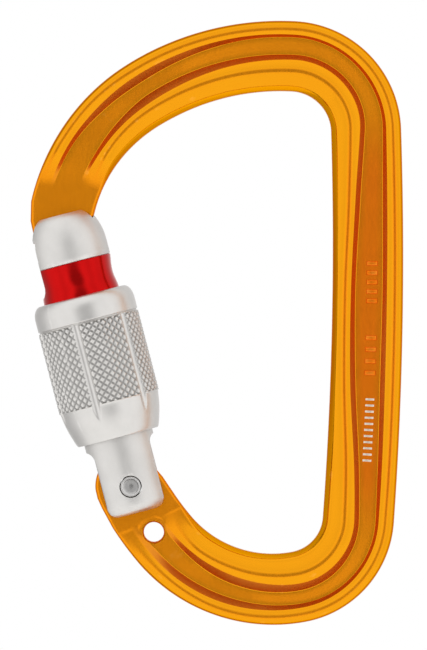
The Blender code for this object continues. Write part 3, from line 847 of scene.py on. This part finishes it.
def bar_mesh(distance, t_span, length, height, bevel):
    """A small plain bar lying across the web's front face, its top slightly smaller than its base."""
    stations = centre_line()
    near = min(stations, key=lambda station: abs(station[0] - distance))
    along = Vector((math.cos(near[3]), math.sin(near[3])))
    across = Vector((-along.y, along.x))
    width = interpolate(FRAME_WIDTHS, distance)[0]
    middle = Vector((near[1], near[2])) + along * (distance - near[0])
    values = interpolate(RIM_STATIONS, distance)
    (inner_crest, inner_wall, inner_foot), (outer_crest, outer_wall, outer_foot) = values[:3], values[3:]
    low = web_half(inner_foot, inner_wall, inner_crest)
    high = web_half(outer_foot, outer_wall, outer_crest)
    tilt = (high - low) / (width - outer_foot - inner_foot)
    rows = []
    for lift, inset in ((-0.3, 0.0), (0.0, 0.0), (height - 0.3 * bevel, 0.45 * bevel), (height, bevel)):
        near_side, far_side = t_span[0] + inset, t_span[1] - inset
        row = []
        for u, t in ((-1, near_side), (1, near_side), (1, far_side), (-1, far_side)):
            spot = middle + along * u * (length / 2 - inset) + across * (t - width / 2)
            row.append((spot.x, -(low + tilt * (t - inner_foot) + lift), spot.y))
        rows.append(row)
    return grid_mesh("bar", rows)


def add_marks(item):
    """Plain raised dashes and a row of short etched ticks on the spine's web."""
    dashes_from = len(item.data.vertices)
    for first, last, count in RAISED_DASHES:
        for i in range(count):
            distance = first + (last - first) * (i + 0.5) / count
            join_mesh(item, bar_mesh(distance, DASH_SPAN, DASH_LENGTH, *DASH_RELIEF))
    ticks_from = len(item.data.vertices)
    first, last, count = ETCHED_TICKS
    for i in range(count):
        distance = first + (last - first) * (i + 0.5) / count
        join_mesh(item, bar_mesh(distance, TICK_SPAN, TICK_LENGTH, *TICK_RELIEF))
    etched = item.data.attributes.new("etched", 'FLOAT', 'POINT')
    values = np.zeros(len(item.data.vertices), np.float32)
    values[ticks_from:] = 1
    etched.data.foreach_set("value", values)
    # The dashes take the web's dull finish and its painted shade.
    for name in ("flat", "web_painted_shade"):
        layer = item.data.attributes[name]
        for index in range(dashes_from, ticks_from):
            layer.data[index].value = 1


def make_frame(material):
    """The forging in one loft, with its finish and painted shade written on the mesh, then the two holes."""
    rings = nose_rings() + body_rings() + lug_rings()
    mesh = grid_mesh("frame_shape", [points for points, finishes in rings])
    finishes = np.array([finishes for points, finishes in rings], np.float32).reshape(-1, 3)
    for column, name in enumerate(("flat", "pocket_wall", "web_painted_shade")):
        layer = mesh.attributes.new(name, 'FLOAT', 'POINT')
        layer.data.foreach_set("value", np.ascontiguousarray(finishes[:, column]))
    item = new_object("frame_forging", mesh)
    cut(item, [pin_mesh("tether", TETHER_HOLE_AT, TETHER_HOLE_RADIUS, 9, 64, 0.22, WEB_HALF),
               pin_mesh("pin_hole", (PIVOT.x / MM, PIVOT.z / MM), RIVET_RADIUS + RUNNING_GAP, 9)])
    add_marks(item)
    shade(item, material, 38)
    put(item, "frame", ["frame"])
    return item


# ---------------------------------------------------------------- gate

def smooth_profile(profile, rounds=2):
    """The same corner cutting for a list of (radius, height) pairs."""
    return [(v.x, v.y) for v in smooth_polyline([Vector(p) for p in profile], rounds)]


def head_profile():
    """The head's domed outside, from its flat top down to its base over the neck."""
    dome = [(4.4, HEAD_TOP), (5.1, 47.3), (5.75, 46.2), (6.25, 44.8), (6.55, 43.4), (HEAD_RADIUS, 42.0)]
    base = [(HEAD_RADIUS, HEAD_BASE + 0.2), (6.45, HEAD_BASE), (NECK_RADIUS, HEAD_BASE)]
    return smooth_profile(dome) + base


def with_rows(profile, step=0.9):
    """Add points along the long straight runs of a profile."""
    result = [profile[0]]
    for (x0, y0), (x1, y1) in zip(profile, profile[1:]):
        pieces = max(1, round(math.hypot(x1 - x0, y1 - y0) / step))
        result += [(x0 + (x1 - x0) * i / pieces, y0 + (y1 - y0) * i / pieces) for i in range(1, pieces + 1)]
    return result


def head_flat_mesh():
    """The flat on the head's outer side, with the cutter's run-out over the neck."""
    run_out = [(HEAD_FLAT, 36.3), (HEAD_FLAT - 0.15, 35.6), (HEAD_FLAT - 0.5, 34.9), (-6.9, 34.4)]
    return prism_mesh("head_flat", [(-10, 50), (HEAD_FLAT, 50)] + run_out + [(-10, 34.4)], 10)


def ear_trim_mesh():
    """Everything round the ears' rounded silhouette, with a fillet up to the barrel."""
    corner, fillet = EAR_CORNER, EAR_FILLET
    left = arc((EAR_LEFT - fillet, 5.6), fillet, 75, 0, 12) + arc(
        (EAR_LEFT + corner, EAR_BOTTOM + corner), corner, 180, 270, 10)
    right = arc((EAR_RIGHT - corner, EAR_BOTTOM + corner), corner, 270, 360, 10) + arc(
        (EAR_RIGHT + fillet, 6.2), fillet, 180, 115, 12)
    outline = [(-10, left[0][1])] + left + right + [(10, right[-1][1]), (10, -10), (-10, -10)]
    return prism_mesh("ear_trim", outline, 10)


def box_outline(x0, z0, x1, z1):
    return [(x0, z0), (x1, z0), (x1, z1), (x0, z1)]


def thread_mesh():
    """The screw thread on the gate's barrel, as a tube round its core."""
    low, high = THREAD_SPAN
    steps, rows = 144, 150
    pitch = THREAD_LEAD / THREAD_STARTS
    points = []
    for k in range(rows + 1):
        z = low + (high - low) * k / rows
        fade = rise_and_fall((low, low + THREAD_RUN_OUT, high - THREAD_RUN_OUT, high), z)
        row = []
        for i in range(steps):
            angle = 2 * math.pi * i / steps
            phase = (z / pitch - THREAD_STARTS * angle / (2 * math.pi)) % 1.0
            crest = 1 - ease(*THREAD_FLANK, abs(phase - 0.5))
            radius = THREAD_ROOT + (THREAD_RADIUS - THREAD_ROOT) * (crest * fade)
            row.append((radius * math.cos(angle), radius * math.sin(angle), z))
        points.append(row)
    bottom, top = (circle(THREAD_ROOT - 1.0, height, steps) for height in THREAD_SPAN)
    return grid_mesh("thread", [bottom] + points + [top], True)


def make_gate_body(material):
    """Turned body, milled fork, ears and bore with rounded edges, then the sharper keyhole slot."""
    profile = [(0, HEAD_TOP)] + head_profile() + [
        (NECK_RADIUS, SHOULDER_SPAN[1]), (SHOULDER_RADIUS - 0.2, SHOULDER_SPAN[1]),
        (SHOULDER_RADIUS, SHOULDER_SPAN[1] - 0.2), (SHOULDER_RADIUS, SHOULDER_SPAN[0]),
        (THREAD_ROOT, THREAD_SPAN[1]), (THREAD_ROOT, THREAD_SPAN[0] + 0.1),
        (BARREL_RADIUS, THREAD_SPAN[0] - 0.2), (BARREL_RADIUS, EAR_BOTTOM + 1.6),
        (5.6, EAR_BOTTOM + 0.6), (4.7, EAR_BOTTOM), (0, EAR_BOTTOM),
    ]
    item = new_object("gate_barrel", lathe_mesh("gate_barrel", with_rows(profile), GATE_STEPS), GATE_PLACE)
    wall = KEY_SLOT_WALL
    relief = [(wall, 45.0), (5.15, 45.7), (6.4, 48.1), (6.4, 50)]       # clears the frame above the head
    slot = [(-9, KEY_FLOOR), (wall, KEY_FLOOR)] + relief + [(-9, 50)]
    bore = [(0, SPRING_BORE_END), (SPRING_BORE_RADIUS, SPRING_BORE_END), (SPRING_BORE_RADIUS, 4), (0, 4)]
    keyhole = [
        prism_mesh("slot", slot, WEB_HALF + SLOT_CLEARANCE),
        prism_mesh("key", box_outline(-9, KEY_FLOOR, wall, KEY_SLOT_TOP), NOSE_KEY_HALF + RUNNING_GAP),
    ]
    cutters = [
        head_flat_mesh(),
        prism_mesh("fork", box_outline(-10, -10, 10, FORK_FLOOR), WEB_HALF + RUNNING_GAP),
        ear_trim_mesh(),
        lathe_mesh("bore", bore, 48),
        pin_mesh("ear_hole", (0, 0), RIVET_RADIUS + 0.1, 9, 48),
    ]
    cut(item, cutters, GATE_BEVEL, 3)
    cut(item, keyhole, KEYHOLE_BEVEL, 1)
    join_mesh(item, thread_mesh())
    shade(item, material, 40)
    weigh_normals(item)
    put(item, "gate", ["gate_body"])
    return item


def make_spring(material):
    """Closing spring inside the gate, with closed end coils."""
    end = SPRING_BORE_END - RUNNING_GAP
    low, high = SPRING_FOOT + SPRING_WIRE_RADIUS, end - SPRING_WIRE_RADIUS
    dead = 2.1 * SPRING_WIRE_RADIUS             # rise of a closed end coil
    steps, sides = 24, 12
    rows = []
    for i in range(SPRING_TURNS * steps + 1):
        turn = i / steps
        height = float(np.interp(turn, (0, 1, SPRING_TURNS - 1, SPRING_TURNS),
                                 (low, low + dead, high - dead, high)))
        angle = 2 * math.pi * turn
        outward = Vector((math.cos(angle), math.sin(angle), 0))
        centre = outward * SPRING_COIL_RADIUS + Vector((0, 0, height))
        rows.append([tuple(centre + outward * x + Vector((0, 0, z)))
                     for x, z, _ in circle(SPRING_WIRE_RADIUS, 0, sides)])
    item = new_object("closing_spring", grid_mesh("closing_spring", rows), GATE_PLACE)
    shade(item, material, 60)
    put(item, "gate", ["gate_spring"])
    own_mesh(item)
    return item


def make_band(material):
    """The red ring on the gate's neck, slightly waisted."""
    top, bottom = HEAD_BASE - 0.03, SHOULDER_SPAN[1] + 0.03
    bore = NECK_RADIUS + RUNNING_GAP
    waist = smooth_profile([(6.6, top - 0.1), (6.42, 38.3), (6.28, 37.3), (6.24, 36.4), (6.32, 35.6),
                            (6.48, 34.8), (6.6, 34.0), (6.6, bottom + 0.1)])
    profile = [(bore, top), (6.5, top)] + waist + [(6.5, bottom), (bore, bottom)]
    item = new_object("indicator_ring", lathe_mesh("indicator_ring", profile, GATE_STEPS, True), GATE_PLACE)
    gap = prism_mesh("gap", box_outline(3, 30, 9, 42), 0.3)
    cut(item, [head_flat_mesh(), gap], 0.08, 2)
    shade(item, material, 40)
    weigh_normals(item)
    put(item, "gate", ["indicator_band"])
    return item


def make_rivet(material):
    """Hinge pin with a peened rim and a round dimple in each end."""
    angles = [math.radians(5 * i) for i in range(10)]
    dimple = [(DIMPLE_SPHERE * math.sin(a), DIMPLE_CENTRE - DIMPLE_SPHERE * math.cos(a)) for a in angles]
    rim = [(1.42, 5.70), (1.56, 5.72), (1.70, 5.66), (RIVET_RADIUS, 5.48)]
    profile = smooth_profile(dimple + rim, 1)
    profile = profile + [(radius, -height) for radius, height in reversed(profile)]
    turn = GATE_PLACE @ Matrix.Rotation(math.pi / 2, 4, 'X')
    mesh = lathe_mesh("hinge_rivet_pin", profile, 64)
    # The groove attribute paints shade into each dimple, darker the deeper it goes.
    layer = mesh.attributes.new("groove", 'FLOAT', 'POINT')
    for vertex in mesh.vertices:
        if vertex.co.xy.length < DIMPLE_REACH * MM:
            depth = max(RIVET_HALF * MM - abs(vertex.co.z), 0)
            layer.data[vertex.index].value = min(depth / (0.4 * MM), 1)
            vertex.co.x += DIMPLE_SKEW[0] * depth
            vertex.co.y += DIMPLE_SKEW[1] * depth
    item = new_object("hinge_rivet_pin", mesh, turn)
    shade(item, material, 40)
    put(item, "gate", ["hinge_rivet"])
    return item


# ---------------------------------------------------------------- sleeve

def sleeve_rows():
    """Profile rows (radius, height, knurl share), outside from the top down, then the bore."""
    top_round = smooth_profile([(7.25, SLEEVE_TOP), (7.6, SLEEVE_TOP), (8.1, 33.3), (8.55, 32.6),
                                (8.75, 31.7), (8.75, 30.6)], 2)
    rows = [(radius, height, 0.0) for radius, height in top_round]
    rows += [(8.75, height, 0.0) for height in (30.1, 29.7, 29.45)]
    rows += [(8.74, 29.36, 0.0), (8.66, 29.28, 0.0), (8.5, 29.16, 0.0), (8.5, 29.06, 0.0), (8.62, 28.98, 0.0)]
    low, high = KNURL_SPAN
    pitch = 2 * math.pi * KNURL_RADIUS / KNURL_COUNT
    count = round((high - low) / pitch * KNURL_SAMPLES)
    for i in range(count + 1):
        height = high - (high - low) * i / count
        share = rise_and_fall((low, low + KNURL_RUN_OUT, high - KNURL_RUN_OUT, high), height)
        rows.append((KNURL_RADIUS, height, share))
    cone = smooth_profile([(8.72, 14.85), (8.6, 14.7), (8.42, 13.3), (8.15, 11.9), (7.75, 10.5),
                           (7.3, 9.1), (7.05, SLEEVE_BOTTOM), (SLEEVE_MOUTH, SLEEVE_BOTTOM)], 2)
    rows += [(radius, height, 0.0) for radius, height in cone]
    groove_low, groove_high, groove_radius = BRAKE_GROOVE
    inside = [(SLEEVE_THREAD_BORE + 0.15, SLEEVE_BOTTOM), (SLEEVE_THREAD_BORE, SLEEVE_BOTTOM + 0.15),
              (SLEEVE_THREAD_BORE, groove_low), (groove_radius, groove_low), (groove_radius, groove_high),
              (SLEEVE_THREAD_BORE, groove_high)]
    rows += [(radius, height, 0.0) for radius, height in inside]
    rows += [(SLEEVE_BORE, SLEEVE_STEP + 0.4, 0.0), (SLEEVE_BORE, SLEEVE_TOP - 0.3, 0.0),
             (SLEEVE_BORE + 0.15, SLEEVE_TOP - 0.05, 0.0)]
    return rows


def knurl_depth(across, height, pitch):
    """Depth of the two crossed families of grooves at a point, as an array over the columns."""
    depth = np.zeros_like(across)
    for sign in (1, -1):
        phase = ((across + sign * height) / pitch) % 1.0
        away = np.abs(phase - 0.5) * pitch / math.sqrt(2)
        half = pitch / 2 / math.sqrt(2)
        slope = np.clip((half - KNURL_TOP_HALF - away) / (half - KNURL_TOP_HALF), 0, 1)
        depth = np.maximum(depth, slope * KNURL_DEPTH)
    return depth


def flute_depth(angles, radius, height):
    """How far the six half-round flutes cut in from the given radius, over the columns."""
    depth = np.zeros_like(angles)
    if not FLUTE_SPAN[0] <= height <= FLUTE_SPAN[1]:
        return depth
    for i in range(FLUTES):
        middle = math.radians(FIRST_FLUTE + 360 * i / FLUTES)
        away = (angles - middle + math.pi) % (2 * math.pi) - math.pi
        side = FLUTE_CENTRE * np.sin(away)
        inside = (np.abs(side) < FLUTE_RADIUS) & (np.abs(away) < 1)
        reach = FLUTE_CENTRE * np.cos(away) - np.sqrt(np.maximum(FLUTE_RADIUS**2 - side**2, 0))
        depth = np.where(inside, np.maximum(depth, radius - reach), depth)
    return depth


def make_sleeve(material):
    """Knurled and fluted sleeve; the groove attribute marks how deep the knurl is, and the material darkens
    it there as painted shade.
    """
    columns = KNURL_COUNT * KNURL_SAMPLES
    angles = 2 * math.pi * np.arange(columns) / columns
    pitch = 2 * math.pi * KNURL_RADIUS / KNURL_COUNT
    across = angles * KNURL_RADIUS
    points, grooves = [], []
    outside = True
    for radius, height, share in sleeve_rows():
        outside = outside and radius > SLEEVE_MOUTH + 0.01
        reach, groove = np.full(columns, radius), np.zeros(columns)
        if share > 0:
            groove = knurl_depth(across, height, pitch) * share
            reach = reach - groove
        if outside:
            flute = flute_depth(angles, radius, height)
            groove = np.where(flute > groove, 0, groove)
            reach = np.where(flute > 0, np.minimum(reach, radius - flute), reach)
        grooves.append(groove / KNURL_DEPTH)
        points.append(np.stack([reach * np.sin(angles), -reach * np.cos(angles),
                                np.full(columns, height)], 1))
    mesh = grid_mesh("screw_sleeve", points, True)
    layer = mesh.attributes.new("groove", 'FLOAT', 'POINT')
    layer.data.foreach_set("value", np.array(grooves, np.float32).ravel())
    item = new_object("screw_sleeve", mesh, GATE_PLACE)
    shade(item, material, 50)
    put(item, "sleeve", ["locking_sleeve"])
    return item


# ---------------------------------------------------------------- the whole

def main():
    bpy.context.scene.view_settings.view_transform = 'Standard'
    make_camera()
    make_world()
    make_floor()
    silver = (0.64, 0.625, 0.605)
    make_frame(frame_material())
    make_gate_body(silver_material("gate_blasted", silver, 0.45, 0.10, 0.003))
    make_band(band_material())
    make_rivet(steel_material("rivet_peened", (0.60, 0.59, 0.58), 0.30, 0.2, (1, 1, 1)))
    make_sleeve(silver_material("sleeve_blasted", silver, 0.36, 0.09, 0.002))
    make_spring(steel_material("spring_wire", (0.42, 0.42, 0.43), 0.30, 0.15, (1, 1, 0.2)))
    carried = {
        "spring_plunger": steel_material(
            "plunger_turned_brass", (0.70, 0.50, 0.22), 0.30, 0.1, (0.1, 0.1, 1)),
        "brake_ring": nylon_material(),
    }
    for name, material in carried.items():
        node = frame["nodes"][name]
        for slot in node.material_slots:
            slot.material = material


main()
